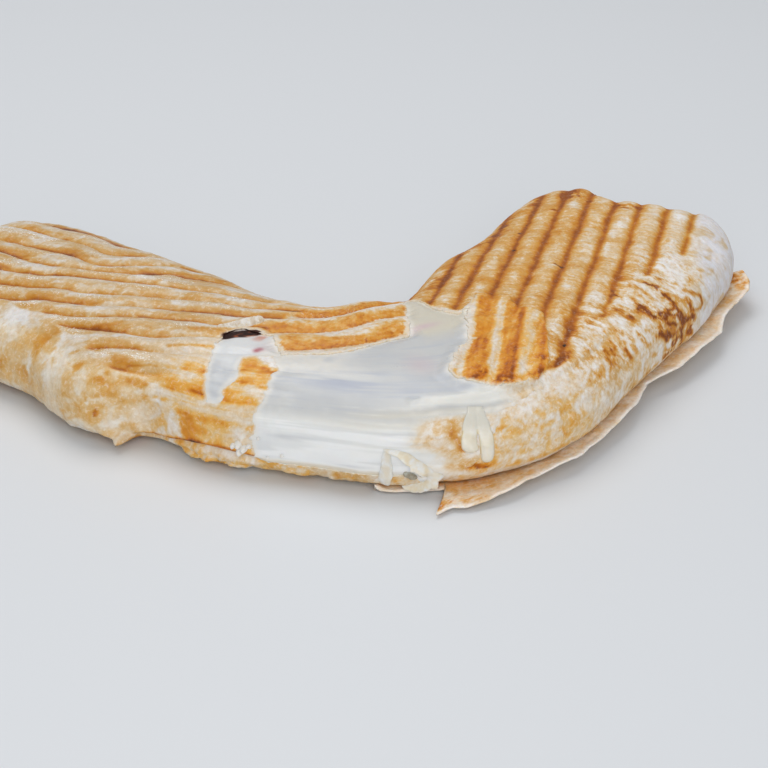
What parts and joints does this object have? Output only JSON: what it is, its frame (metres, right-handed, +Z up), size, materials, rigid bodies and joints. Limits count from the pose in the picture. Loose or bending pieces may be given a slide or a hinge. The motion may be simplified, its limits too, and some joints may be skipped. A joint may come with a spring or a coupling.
{
  "type": "vegetable wrap",
  "caption": "Grilled flatbread wrap, pressed flat and bent into a crescent, with grill ridges, a tear round the bend that shows a smooth pale filling, and a loose bottom edge.",
  "frame": {"origin": "centre of the bounding box at the level of the flat underside", "axes": "+Z up from the underside; +X from the left arm to the right arm; the bend points towards -Y and both arms run back towards +Y"},
  "size_m": [0.2452, 0.1672, 0.0282],
  "materials": {
    "tortilla": "toasted flatbread",
    "filling": "moist cream",
    "loose_edge": "dry flatbread",
    "cheese_drip": "melted cheese"
  },
  "bodies": {
    "root": {"tortilla": "tortilla", "filling": "filling", "loose_edge": "loose_edge", "cheese_drip": "cheese_drip"}
  },
  "joints": []
}
